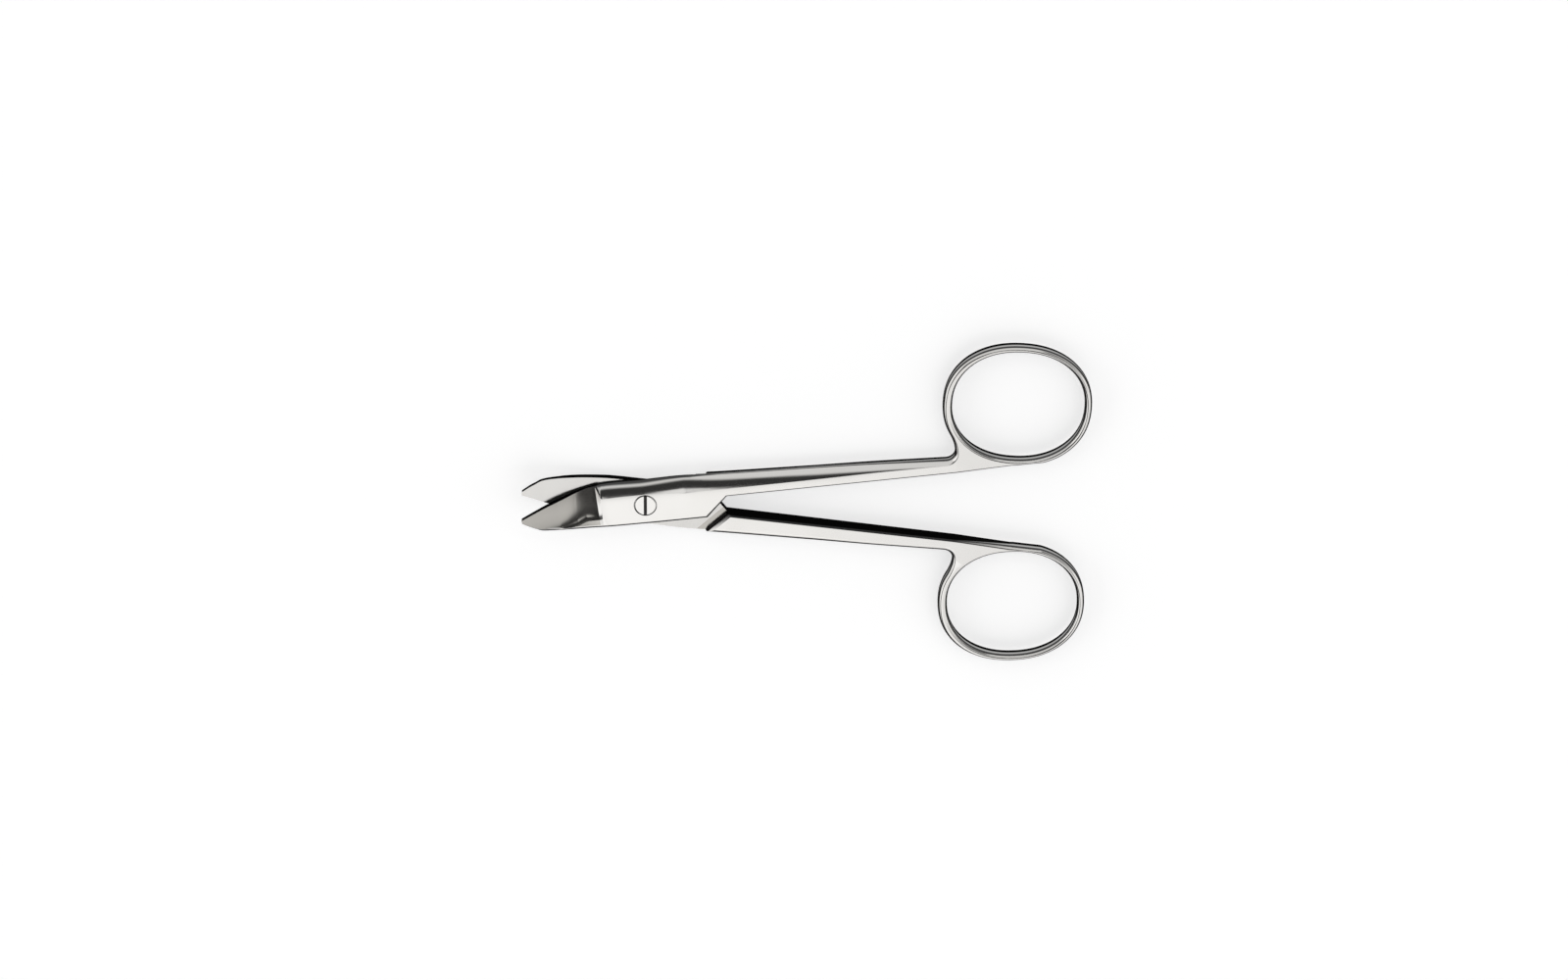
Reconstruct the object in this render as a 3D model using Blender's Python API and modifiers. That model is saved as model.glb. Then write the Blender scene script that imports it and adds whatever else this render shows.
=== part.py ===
"""Crown scissors: two forged halves crossed in a lap joint and held by one slotted screw.

The halves lie on the plane z = 0. The origin is on the pivot axis at that plane, the finger rings
point along +X, the blade tips along -X, and both blades curve up towards +Z. Each half is drawn in
its closed pose, with its inner edge along the X axis, and then turned open about the pivot.
"""

import math

import bmesh
import bpy
import numpy as np
from mathutils import Matrix

# Whole object
OPENING = math.radians(13.6)
THICKNESS = 0.0038
CLEARANCE = 0.0003

# Joint: each half keeps one layer of the thickness here, up to the other half's slanted shoulder
JOINT_SPINE_WIDTH = 0.0040
JOINT_BACK_WIDTH = 0.0047
JOINT_SWELL = 0.0003
JOINT_SWELL_X = 0.0078
SHOULDER_FOOT = 0.0156
SHOULDER_ANGLE = math.radians(50)
LAP_END_ANGLE = math.radians(45)

# Blade, measured from the pivot axis
BLADE_REACH = 0.0236
TIP_WIDTH = 0.0011
HEEL_DISTANCE = 0.0075
HEEL_WIDTH = 0.0046
EDGE_BOW = 0.0003
BELLY_DISTANCE = 0.0187
BELLY_WIDTH = 0.0030
NOSE_DISTANCE = 0.0215
NOSE_WIDTH = 0.0018
CURVE_START = 0.0070
CURVE_RADIUS = 0.047
TIP_THICKNESS = 0.0009

# Ground face on the outside of each blade, with the rim that it leaves along the spine
STEP_DISTANCE = 0.0092
STEP_DEPTH = 0.00045
STEP_LEAN = math.radians(10)
STEP_SPINE_WIDTH = 0.00384
RIM_WIDTH = 0.0011
RIM_END = 0.0160

# Shank
SHANK_WIDTH_JOINT = 0.0044
SHANK_WIDTH_MIDDLE = 0.0038
SHANK_WIDTH_RING = 0.0028
SHANK_MIDDLE = 0.033
WEB_X = 0.0596
WEB_FILLET = 0.0014

# Finger ring: a full oval hole, and a band that is wider on the pivot's side
RING_X = 0.0724
RING_Y = 0.0126
RING_HOLE_LENGTH = 0.0250
RING_HOLE_WIDTH = 0.0223
RING_FULLNESS = 2.17
RING_TILT = math.radians(-9.5)
RING_THICKNESS = 0.0034
BAND_WIDTH = 0.00145
BAND_WIDENING = 0.0002
RIM_LEAVES_WEB = math.radians(210)

# How far the rounding of an edge reaches across the face and down the side
BACK_ROUND_OVER = (0.0019, 0.0018)
BACK_ROUND_UNDER = (0.0011, 0.0011)
RING_ROUND = (0.0006, 0.0013)
INNER_ROUND = (0.0003, 0.0003)
EDGE_BREAK = (0.0002, 0.0002)

# Screw
HEAD_DIAMETER = 0.0041
HEAD_CONE_HEIGHT = 0.0009
HEAD_RIM_HEIGHT = 0.0002
SHAFT_DIAMETER = 0.0024
SLOT_WIDTH = 0.00055
SLOT_DEPTH = 0.00065

# Facets
RING_STEPS = 40
SPLINE_STEPS = 6
ROUND_STEPS = 4
FILLET_STEPS = 4
TURNED_STEPS = 40
BLADE_SLICE = 0.0016
WELD_DISTANCE = 0.0000001
SMOOTH_ANGLE = math.radians(30)

MATING_HEIGHT = THICKNESS / 2
INNER_EDGE = CLEARANCE / 2


def clear_scene():
    for thing in list(bpy.data.objects):
        bpy.data.objects.remove(thing, do_unlink=True)


def make_collection(name):
    collection = bpy.data.collections.new(name)
    bpy.context.scene.collection.children.link(collection)
    return collection


def steel(name, colour, roughness):
    material = bpy.data.materials.new(name)
    material.use_nodes = True
    shader = material.node_tree.nodes["Principled BSDF"]
    shader.inputs["Base Color"].default_value = (*colour, 1.0)
    shader.inputs["Metallic"].default_value = 1.0
    shader.inputs["Roughness"].default_value = roughness
    return material


def add_object(name, data, collection):
    thing = bpy.data.objects.new(name, data)
    collection.objects.link(thing)
    return thing


def as_cutter(thing):
    thing.hide_render = True
    thing.display_type = "WIRE"
    return thing


def cut(thing, cutter):
    modifier = thing.modifiers.new(f"cut_{cutter.name}", "BOOLEAN")
    modifier.operation = "DIFFERENCE"
    modifier.object = cutter


def apply_cuts(thing):
    graph = bpy.context.evaluated_depsgraph_get()
    thing.data = bpy.data.meshes.new_from_object(thing.evaluated_get(graph))
    thing.modifiers.clear()


def station(x, y, over, under):
    """A point of an outline, with the rounding of its edge over and under the plate."""
    return np.array([x, y, *over, *under])


def smooth_through(stations):
    """A Catmull-Rom curve through the stations, without its last point."""
    first = stations[0] * 2 - stations[1]
    last = stations[-1] * 2 - stations[-2]
    padded = [first, *stations, last]
    curve = []
    for before, start, end, after in zip(padded, padded[1:], padded[2:], padded[3:]):
        bend = before * 2 - start * 5 + end * 4 - after
        twist = start * 3 - before - end * 3 + after
        for step in range(SPLINE_STEPS):
            t = step / SPLINE_STEPS
            curve.append(start + ((end - before) * t + bend * t**2 + twist * t**3) / 2)
    return curve


def arc(centre, radii, start, end, steps, tilt=0.0, fullness=2.0):
    """Points on an oval from one angle to the other. A fullness over 2 squares the oval a little."""
    points = []
    for step in range(steps + 1):
        angle = start + (end - start) * step / steps
        along = math.copysign(abs(math.cos(angle)) ** (2 / fullness), math.cos(angle)) * radii[0]
        across = math.copysign(abs(math.sin(angle)) ** (2 / fullness), math.sin(angle)) * radii[1]
        x = centre[0] + along * math.cos(tilt) - across * math.sin(tilt)
        y = centre[1] + along * math.sin(tilt) + across * math.cos(tilt)
        points.append((x, y))
    return points


def spine_stations():
    """From the tip along the blade's blunt side to the end of the lap and the inner edge."""
    lap_corner = SHOULDER_FOOT - (JOINT_SPINE_WIDTH + INNER_EDGE) / math.tan(LAP_END_ANGLE)
    spine = [
        (-BLADE_REACH, -TIP_WIDTH / 2),
        (-NOSE_DISTANCE, -NOSE_WIDTH),
        (-BELLY_DISTANCE, -BELLY_WIDTH),
        (-STEP_DISTANCE, -STEP_SPINE_WIDTH),
        (0.0, -JOINT_SPINE_WIDTH),
        (lap_corner, -JOINT_SPINE_WIDTH),
    ]
    stations = [station(x, y, EDGE_BREAK, EDGE_BREAK) for x, y in spine]
    foot = station(SHOULDER_FOOT, INNER_EDGE, INNER_ROUND, INNER_ROUND)
    return smooth_through(stations) + [stations[-1], foot]


def ring_stations():
    """From the web's inner edge round the ring's rim, which is flat along the inner edge."""
    along = RING_HOLE_LENGTH / 2 + BAND_WIDTH + BAND_WIDENING
    across = RING_HOLE_WIDTH / 2 + BAND_WIDTH
    centre = (RING_X - BAND_WIDENING, RING_Y)
    rim = arc(
        centre,
        (along, across),
        -math.pi / 2,
        RIM_LEAVES_WEB,
        RING_STEPS,
        RING_TILT,
        RING_FULLNESS,
    )
    fillet_centre = (WEB_X - WEB_FILLET, SHANK_WIDTH_RING + WEB_FILLET)
    fillet = arc(fillet_centre, (WEB_FILLET, WEB_FILLET), 0.0, -math.pi / 2, FILLET_STEPS)
    stations = [station(WEB_X, INNER_EDGE, INNER_ROUND, INNER_ROUND)]
    for x, y in rim + fillet:
        stations.append(station(x, max(y, INNER_EDGE), RING_ROUND, RING_ROUND))
    return stations


def back_stations(start):
    """From the web along the shank's back and the cutting edge to the tip."""
    edge_middle = (HEEL_DISTANCE + BLADE_REACH) / 2
    edge_width = (HEEL_WIDTH + TIP_WIDTH / 2) / 2 + EDGE_BOW
    rounded = [
        (SHANK_MIDDLE, SHANK_WIDTH_MIDDLE),
        (SHOULDER_FOOT, SHANK_WIDTH_JOINT),
        (JOINT_SWELL_X, JOINT_BACK_WIDTH + JOINT_SWELL),
        (0.0, JOINT_BACK_WIDTH),
    ]
    sharp = [
        (-HEEL_DISTANCE, HEEL_WIDTH),
        (-edge_middle, edge_width),
        (-BLADE_REACH, TIP_WIDTH / 2),
    ]
    stations = [start]
    stations += [station(x, y, BACK_ROUND_OVER, BACK_ROUND_UNDER) for x, y in rounded]
    stations += [station(x, y, EDGE_BREAK, EDGE_BREAK) for x, y in sharp]
    return smooth_through(stations)[1:] + [stations[-1]]


def half_outline():
    """Anticlockwise outline of a half whose shank lies at +Y and whose blade is the upper one."""
    ring = ring_stations()
    return spine_stations() + ring + back_stations(ring[-1])


def hole_outline():
    """The ring's hole, clockwise, so that its rounding also runs into the metal."""
    radii = (RING_HOLE_LENGTH / 2, RING_HOLE_WIDTH / 2)
    centre = (RING_X, RING_Y)
    oval = arc(centre, radii, 0.0, -2 * math.pi, RING_STEPS, RING_TILT, RING_FULLNESS)
    return [station(x, y, RING_ROUND, RING_ROUND) for x, y in oval[:-1]]


def half_thickness(x):
    """The plate is thickest at the joint and thins evenly along the shank to the ring."""
    part = min(max((x - SHOULDER_FOOT) / (WEB_X - SHOULDER_FOOT), 0.0), 1.0)
    return (THICKNESS + (RING_THICKNESS - THICKNESS) * part) / 2


def inward_directions(points):
    """For each corner, the step that moves both of its sides inwards by one unit."""
    before = points - np.roll(points, 1, axis=0)
    after = np.roll(points, -1, axis=0) - points
    normals = []
    for side in (before, after):
        side = side / np.linalg.norm(side, axis=1, keepdims=True)
        normals.append(np.column_stack([-side[:, 1], side[:, 0]]))
    middle = normals[0] + normals[1]
    middle /= np.linalg.norm(middle, axis=1, keepdims=True)
    return middle / np.sum(middle * normals[1], axis=1, keepdims=True)


def add_wall(mesh, outline):
    """The side wall of a plate along an outline. It gives the border loops below and above."""
    table = np.array(outline)
    points = table[:, :2]
    inward = inward_directions(points)
    over = table[:, 2:4]
    under = table[:, 4:6]
    quarter = [math.pi / 2 * step / ROUND_STEPS for step in range(ROUND_STEPS + 1)]
    levels = [(under, -1, angle) for angle in reversed(quarter)]
    levels += [(over, 1, angle) for angle in quarter]
    loops = []
    for rounding, side, angle in levels:
        places = points + inward * rounding[:, :1] * (1 - math.cos(angle))
        drops = rounding[:, 1] * (1 - math.sin(angle))
        loop = []
        for (x, y), drop in zip(places, drops):
            height = MATING_HEIGHT + side * (half_thickness(x) - drop)
            loop.append(mesh.verts.new((x, y, height)))
        loops.append(loop)
    for lower, upper in zip(loops, loops[1:]):
        for i in range(len(lower)):
            mesh.faces.new((lower[i - 1], lower[i], upper[i], upper[i - 1]))
    return loops[0], loops[-1]


def fill_face(mesh, loops):
    edges = []
    for loop in loops:
        for i, vertex in enumerate(loop):
            edges.append(mesh.edges.get((loop[i - 1], vertex)))
    bmesh.ops.triangle_fill(mesh, edges=edges, use_beauty=True)


def rounded_plate(name, collection):
    """A half before its joint is cut: a plate with rounded edges and a finger hole."""
    mesh = bmesh.new()
    walls = [add_wall(mesh, half_outline()), add_wall(mesh, hole_outline())]
    fill_face(mesh, [wall[0] for wall in walls])
    fill_face(mesh, [wall[1] for wall in walls])
    bmesh.ops.recalc_face_normals(mesh, faces=mesh.faces)
    data = bpy.data.meshes.new(name)
    mesh.to_mesh(data)
    mesh.free()
    return add_object(name, data, collection)


def prism(name, corners, bottom, top, collection):
    """A straight cutter with the given corners in plan."""
    mesh = bmesh.new()
    base = mesh.faces.new([mesh.verts.new((x, y, bottom)) for x, y in corners])
    raised = bmesh.ops.extrude_face_region(mesh, geom=[base])
    moved = [item for item in raised["geom"] if isinstance(item, bmesh.types.BMVert)]
    bmesh.ops.translate(mesh, verts=moved, vec=(0, 0, top - bottom))
    bmesh.ops.recalc_face_normals(mesh, faces=mesh.faces)
    data = bpy.data.meshes.new(name)
    mesh.to_mesh(data)
    mesh.free()
    return as_cutter(add_object(name, data, collection))


def turned(name, profile, collection):
    """A solid turned about Z from a profile of (radius, height), which runs from top to bottom."""
    data = bpy.data.meshes.new(name)
    points = [(radius, 0, height) for radius, height in profile]
    edges = [(i, i + 1) for i in range(len(profile) - 1)]
    data.from_pydata(points, edges, [])
    thing = add_object(name, data, collection)
    screw = thing.modifiers.new("turn", "SCREW")
    screw.steps = TURNED_STEPS
    screw.render_steps = TURNED_STEPS
    screw.use_merge_vertices = True
    screw.merge_threshold = WELD_DISTANCE
    return thing


def recess_cutter(cutters):
    """Takes the lower layer off the joint and blade, up to the slanted shoulder."""
    reach = BLADE_REACH + THICKNESS
    side = JOINT_SPINE_WIDTH + JOINT_BACK_WIDTH
    foot = SHOULDER_FOOT + CLEARANCE
    corners = [
        (-reach, -side),
        (foot, -side),
        (foot, -CLEARANCE),
        (foot - side / math.tan(SHOULDER_ANGLE), side - CLEARANCE),
        (-reach, side),
    ]
    return prism("recess", corners, -THICKNESS, MATING_HEIGHT + CLEARANCE / 2, cutters)


def grind_cutter(cutters):
    """Takes the ground face off the outside of the blade, from the step to the tip."""
    lean = math.tan(STEP_LEAN) * STEP_SPINE_WIDTH
    reach = BLADE_REACH + THICKNESS
    side = JOINT_SPINE_WIDTH + JOINT_BACK_WIDTH
    corners = [
        (-STEP_DISTANCE + lean, -STEP_SPINE_WIDTH + RIM_WIDTH),
        (-STEP_DISTANCE - lean, HEEL_WIDTH),
        (-STEP_DISTANCE - lean, side),
        (-reach, side),
        (-reach, -side),
        (-RIM_END, -side),
        (-RIM_END, -STEP_SPINE_WIDTH),
    ]
    return prism("grind", corners, THICKNESS - STEP_DEPTH, THICKNESS * 2, cutters)


def countersink_cutter(cutters):
    radius = SHAFT_DIAMETER / 2 + CLEARANCE
    rim = HEAD_DIAMETER / 2 + CLEARANCE
    seat = THICKNESS - HEAD_RIM_HEIGHT - CLEARANCE
    profile = [
        (0, THICKNESS * 2),
        (rim, THICKNESS * 2),
        (rim, seat),
        (radius, seat - HEAD_CONE_HEIGHT),
        (radius, -THICKNESS),
        (0, -THICKNESS),
    ]
    return as_cutter(turned("countersink", profile, cutters))


def bore_cutter(cutters):
    radius = SHAFT_DIAMETER / 2 + CLEARANCE
    profile = [
        (0, THICKNESS * 2),
        (radius, THICKNESS * 2),
        (radius, -THICKNESS),
        (0, -THICKNESS),
    ]
    return as_cutter(turned("bore", profile, cutters))


def curve_height(radius):
    """How far the mating face has risen at this distance from the pivot axis."""
    return max(radius - CURVE_START, 0.0) ** 2 / (2 * CURVE_RADIUS)


def thinning(radius):
    """The blade's share of its full thickness at this distance from the pivot axis."""
    part = min(max(radius - CURVE_START, 0.0) / (BLADE_REACH - CURVE_START), 1.0)
    full = MATING_HEIGHT - CLEARANCE / 2 - STEP_DEPTH
    return 1 - part * (1 - TIP_THICKNESS / full)


def curve_blade(thing, mating_height):
    """Bends the blade up. Its mating face stays a surface turned about the pivot axis."""
    mesh = bmesh.new()
    mesh.from_mesh(thing.data)
    bmesh.ops.remove_doubles(mesh, verts=mesh.verts, dist=WELD_DISTANCE)
    for step in range(1, math.ceil(BLADE_REACH / BLADE_SLICE)):
        everything = mesh.verts[:] + mesh.edges[:] + mesh.faces[:]
        place = (-BLADE_SLICE * step, 0, 0)
        bmesh.ops.bisect_plane(mesh, geom=everything, plane_co=place, plane_no=(1, 0, 0))
    blade = [face for face in mesh.faces if face.calc_center_median().x < -BLADE_SLICE]
    pieces = {item for face in blade for item in (face, *face.edges, *face.verts)}
    bmesh.ops.bisect_plane(mesh, geom=list(pieces), plane_co=(0, 0, 0), plane_no=(0, 1, 0))
    for vertex in mesh.verts:
        if vertex.co.x < 0:
            radius = vertex.co.xy.length
            depth = (vertex.co.z - mating_height) * thinning(radius)
            vertex.co.z = mating_height + depth + curve_height(radius)
    mesh.to_mesh(thing.data)
    mesh.free()


def finish_half(thing, mating_height, angle, material):
    curve_blade(thing, mating_height)
    thing.rotation_euler.z = angle
    thing.data.shade_smooth()
    thing.data.set_sharp_from_angle(angle=SMOOTH_ANGLE)
    thing.data.materials.append(material)


def build_upper_half(parts, shared_cutters, countersink, material):
    half = rounded_plate("screw_side_half", parts)
    for cutter in (*shared_cutters, countersink):
        cut(half, cutter)
    apply_cuts(half)
    finish_half(half, MATING_HEIGHT + CLEARANCE / 2, OPENING / 2, material)


def build_lower_half(parts, shared_cutters, bore, material):
    """The same plate turned over about X, so that its lap is the lower layer."""
    half = rounded_plate("threaded_half", parts)
    for cutter in (*shared_cutters, bore):
        cut(half, cutter)
    apply_cuts(half)
    half.data.transform(Matrix.Translation((0, 0, THICKNESS)) @ Matrix.Rotation(math.pi, 4, "X"))
    finish_half(half, MATING_HEIGHT - CLEARANCE / 2, -OPENING / 2, material)


def build_screw(parts, cutters, material):
    """A countersunk head with one slot, on a shaft that ends flush with the back."""
    head = HEAD_DIAMETER / 2
    shaft = SHAFT_DIAMETER / 2
    seat = THICKNESS - HEAD_RIM_HEIGHT
    profile = [
        (0, THICKNESS),
        (head, THICKNESS),
        (head, seat),
        (shaft, seat - HEAD_CONE_HEIGHT),
        (shaft, 0),
        (0, 0),
    ]
    screw = turned("pivot_screw", profile, parts)
    half_slot = SLOT_WIDTH / 2
    slot_end = HEAD_DIAMETER
    corners = [
        (-half_slot, -slot_end),
        (half_slot, -slot_end),
        (half_slot, slot_end),
        (-half_slot, slot_end),
    ]
    cut(screw, prism("slot", corners, THICKNESS - SLOT_DEPTH, THICKNESS * 2, cutters))
    screw.data.materials.append(material)


def main():
    clear_scene()
    parts = make_collection("crown_scissors")
    cutters = make_collection("cutters")
    polished = steel("polished_steel", (0.72, 0.71, 0.69), 0.16)
    bright = steel("screw_steel", (0.78, 0.77, 0.75), 0.22)
    shared_cutters = (recess_cutter(cutters), grind_cutter(cutters))
    build_upper_half(parts, shared_cutters, countersink_cutter(cutters), polished)
    build_lower_half(parts, shared_cutters, bore_cutter(cutters), polished)
    build_screw(parts, cutters, bright)


main()
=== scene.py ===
"""Crown scissors in polished steel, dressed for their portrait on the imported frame."""

import math
from collections import Counter

import bmesh
import bpy
import numpy as np
from mathutils import Matrix, Vector


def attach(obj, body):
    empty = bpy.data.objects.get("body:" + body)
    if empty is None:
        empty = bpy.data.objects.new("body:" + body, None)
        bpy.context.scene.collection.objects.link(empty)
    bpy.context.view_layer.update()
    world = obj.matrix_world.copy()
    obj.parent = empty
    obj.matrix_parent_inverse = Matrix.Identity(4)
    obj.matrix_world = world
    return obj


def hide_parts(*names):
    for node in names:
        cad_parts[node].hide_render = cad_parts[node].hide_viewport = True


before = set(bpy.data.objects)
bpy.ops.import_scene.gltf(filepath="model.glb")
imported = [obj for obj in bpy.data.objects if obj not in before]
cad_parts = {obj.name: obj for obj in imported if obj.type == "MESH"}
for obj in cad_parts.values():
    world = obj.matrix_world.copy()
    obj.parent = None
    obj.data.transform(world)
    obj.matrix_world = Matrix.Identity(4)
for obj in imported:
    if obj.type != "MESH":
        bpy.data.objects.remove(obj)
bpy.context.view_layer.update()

scene = bpy.context.scene

# Two forged halves of stainless steel: blade, joint plate, shank and finger ring in one piece.
# Each is ground flat, its back is rounded by hand on a belt, and then it is polished. The lower
# half is the same forging turned over, and the two cross in a lap joint.
OPENING = math.radians(13.6)
THICKNESS = 0.0038
MATING_HEIGHT = THICKNESS / 2
RUNNING_GAP = 0.00006
INNER_EDGE = 0.00015

JOINT_SPINE_WIDTH = 0.0040
JOINT_BACK_WIDTH = 0.0047
JOINT_SWELL = 0.0001
JOINT_SWELL_X = 0.0078
SHOULDER_FOOT = 0.0156
SHOULDER_ANGLE = math.radians(50)
SHOULDER_RUN = 0.0003
LAP_END_ANGLE = math.radians(45)

BLADE_REACH = 0.0236
TIP_WIDTH = 0.0007
STEP_DISTANCE = 0.0092
STEP_SPINE_WIDTH = 0.00384
STEP_EDGE_WIDTH = 0.00463
EDGE_BOW = 0.0003
HEEL_LENGTH = 0.0008
BELLY_DISTANCE = 0.0187
BELLY_WIDTH = 0.0030
NOSE_DISTANCE = 0.0215
NOSE_WIDTH = 0.0018

SHANK_WIDTH_JOINT = 0.0044
SHANK_WIDTH_MIDDLE = 0.0038
SHANK_WIDTH_SLIM = 0.0034
SHANK_WIDTH_RING = 0.0028
SHANK_MIDDLE = 0.033
SHANK_SLIM = 0.044
WEB_X = 0.0596
WEB_FILLET = 0.0018

RING_X = 0.0724
RING_Y = 0.0126
RING_HOLE_LENGTH = 0.0250
RING_HOLE_WIDTH = 0.0223
RING_FULLNESS = 2.17
RING_TILT = math.radians(-9.5)
RING_THICKNESS = 0.0030
BAND_WIDTH = 0.00140
BAND_WIDENING = 0.0002
RIM_LEAVES_WEB = math.radians(210)

# How a long edge is rounded: across the face, down the side, and the belt's share in its form
HEEL_ROUND = (0.0026, 0.0015, 1.0)
JOINT_ROUND = (0.0024, 0.0015, 1.0)
SWELL_ROUND = (0.0031, 0.0014, 1.0)
SHOULDER_ROUND = (0.0026, 0.0016, 1.0)
BACK_ROUND = (0.0019, 0.0017, 1.0)
SLIM_ROUND = (0.0014, 0.0016, 1.0)
WEB_ROUND = (0.0009, 0.0015, 1.0)
BACK_ROUND_UNDER = (0.0012, 0.0016, 0.0)
SLIM_ROUND_UNDER = (0.0010, 0.0014, 0.0)
RING_ROUND = (0.00066, 0.0014, 0.0)
INNER_ROUND = (0.00035, 0.00035, 0.0)
CUTTING_EDGE = (0.00010, 0.00010, 0.0)
EDGE_BREAK = (0.00060, 0.00050, 0.0)

OUTLINE_STEPS = 24
RING_STEPS = 144
FILLET_STEPS = 12
ROUND_STEPS = 12

# Where a station of the outline keeps its roundings
OVER = slice(2, 5)
UNDER = slice(5, 8)


def station(x, y, over, under):
    """A point of the outline with the rounding of its edge above and below."""
    return np.array([x, y, *over, *under])


def blend(start, end, share):
    """A rounding between two others."""
    return np.array(start) * (1 - share) + np.array(end) * share


def smooth_through(stations):
    """A Catmull-Rom curve through the stations; the roundings change evenly between them."""
    padded = [stations[0] * 2 - stations[1], *stations, stations[-1] * 2 - stations[-2]]
    curve = []
    for before, start, end, after in zip(padded, padded[1:], padded[2:], padded[3:]):
        bend = before * 2 - start * 5 + end * 4 - after
        twist = start * 3 - before - end * 3 + after
        for step in range(OUTLINE_STEPS):
            t = step / OUTLINE_STEPS
            point = start + ((end - before) * t + bend * t**2 + twist * t**3) / 2
            point[2:] = start[2:] + (end[2:] - start[2:]) * t
            curve.append(point)
    return curve


def oval(centre, radii, start, end, steps, tilt=0.0, fullness=2.0):
    """Points on an oval from one angle to the other. A fullness over 2 squares it a little."""
    points = []
    for step in range(steps + 1):
        angle = start + (end - start) * step / steps
        along = math.copysign(abs(math.cos(angle)) ** (2 / fullness), math.cos(angle)) * radii[0]
        across = math.copysign(abs(math.sin(angle)) ** (2 / fullness), math.sin(angle)) * radii[1]
        x = centre[0] + along * math.cos(tilt) - across * math.sin(tilt)
        y = centre[1] + along * math.sin(tilt) + across * math.cos(tilt)
        points.append((x, y))
    return points


def bridge(before, start, end, after):
    """A smooth curve between two others that end and begin with these points."""
    before, start, end, after = [np.array(point) for point in (before, start, end, after)]
    reach = np.linalg.norm(end - start)
    out = (start - before) / np.linalg.norm(start - before) * reach
    into = (after - end) / np.linalg.norm(after - end) * reach
    curve = []
    for step in range(1, FILLET_STEPS):
        t = step / FILLET_STEPS
        fixed = start * (1 + 2 * t) * (1 - t) ** 2 + end * t**2 * (3 - 2 * t)
        curve.append(tuple(fixed + out * t * (1 - t) ** 2 - into * t**2 * (1 - t)))
    return curve


def spine_stations():
    """From the tip along the blade's blunt side to the end of the lap and the inner edge."""
    lap_corner = SHOULDER_FOOT - (JOINT_SPINE_WIDTH + INNER_EDGE) / math.tan(LAP_END_ANGLE)
    spine = [
        (-BLADE_REACH, -TIP_WIDTH / 2, CUTTING_EDGE),
        (-NOSE_DISTANCE, -NOSE_WIDTH, CUTTING_EDGE),
        (-BELLY_DISTANCE, -BELLY_WIDTH, EDGE_BREAK),
        (-STEP_DISTANCE, -STEP_SPINE_WIDTH, EDGE_BREAK),
        (0.0, -JOINT_SPINE_WIDTH, EDGE_BREAK),
        (lap_corner, -JOINT_SPINE_WIDTH, EDGE_BREAK),
    ]
    stations = [station(x, y, edge, edge) for x, y, edge in spine]
    foot = station(SHOULDER_FOOT, INNER_EDGE, INNER_ROUND, INNER_ROUND)
    return smooth_through(stations) + [stations[-1], foot]


def ring_stations():
    """From the web's inner edge round the ring's rim, which is flat along the inner edge."""
    along = RING_HOLE_LENGTH / 2 + BAND_WIDTH + BAND_WIDENING
    across = RING_HOLE_WIDTH / 2 + BAND_WIDTH
    centre = (RING_X - BAND_WIDENING, RING_Y)
    start = -math.pi / 2
    rim = oval(centre, (along, across), start, RIM_LEAVES_WEB, RING_STEPS, RING_TILT, RING_FULLNESS)
    fillet_centre = (WEB_X - WEB_FILLET, SHANK_WIDTH_RING + WEB_FILLET)
    fillet = oval(fillet_centre, (WEB_FILLET, WEB_FILLET), 0.0, -math.pi / 2, FILLET_STEPS)
    stations = [station(WEB_X, INNER_EDGE, INNER_ROUND, INNER_ROUND)]
    rim += bridge(rim[-2], rim[-1], fillet[0], fillet[1])
    stations += [station(x, max(y, INNER_EDGE), RING_ROUND, RING_ROUND) for x, y in rim]
    for step, (x, y) in enumerate(fillet):
        share = step / FILLET_STEPS
        over = blend(RING_ROUND, WEB_ROUND, share)
        under = blend(RING_ROUND, SLIM_ROUND_UNDER, share)
        stations.append(station(x, y, over, under))
    return stations


def back_stations(start):
    """From the web along the shank's rounded back and the cutting edge to the tip."""
    edge_middle = (STEP_DISTANCE + BLADE_REACH) / 2
    edge_width = (STEP_EDGE_WIDTH + TIP_WIDTH / 2) / 2 + EDGE_BOW
    stations = [
        start,
        station(SHANK_SLIM, SHANK_WIDTH_SLIM, SLIM_ROUND, SLIM_ROUND_UNDER),
        station(SHANK_MIDDLE, SHANK_WIDTH_MIDDLE, BACK_ROUND, BACK_ROUND_UNDER),
        station(SHOULDER_FOOT, SHANK_WIDTH_JOINT, SHOULDER_ROUND, BACK_ROUND_UNDER),
        station(JOINT_SWELL_X, JOINT_BACK_WIDTH + JOINT_SWELL, SWELL_ROUND, BACK_ROUND_UNDER),
        station(0.0, JOINT_BACK_WIDTH, JOINT_ROUND, BACK_ROUND_UNDER),
        station(-STEP_DISTANCE, STEP_EDGE_WIDTH, CUTTING_EDGE, CUTTING_EDGE),
        station(-edge_middle, edge_width, CUTTING_EDGE, CUTTING_EDGE),
        station(-BLADE_REACH, TIP_WIDTH / 2, CUTTING_EDGE, CUTTING_EDGE),
    ]
    curve = smooth_through(stations)[1:] + [stations[-1]]
    # Past the pivot the rounding runs on, and at the heel it ends in the cutting edge
    places = (-STEP_DISTANCE, HEEL_LENGTH - STEP_DISTANCE, 0.0)
    over = np.array([CUTTING_EDGE, HEEL_ROUND, JOINT_ROUND])
    under = np.array([CUTTING_EDGE, BACK_ROUND_UNDER, BACK_ROUND_UNDER])
    for point in curve:
        if point[0] < 0:
            point[OVER] = [np.interp(point[0], places, column) for column in over.T]
            point[UNDER] = [np.interp(point[0], places, column) for column in under.T]
    return curve


def half_outline():
    """Anticlockwise outline of a half whose shank lies at +Y and whose blade is the upper one."""
    ring = ring_stations()
    return spine_stations() + ring + back_stations(ring[-1])


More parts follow.
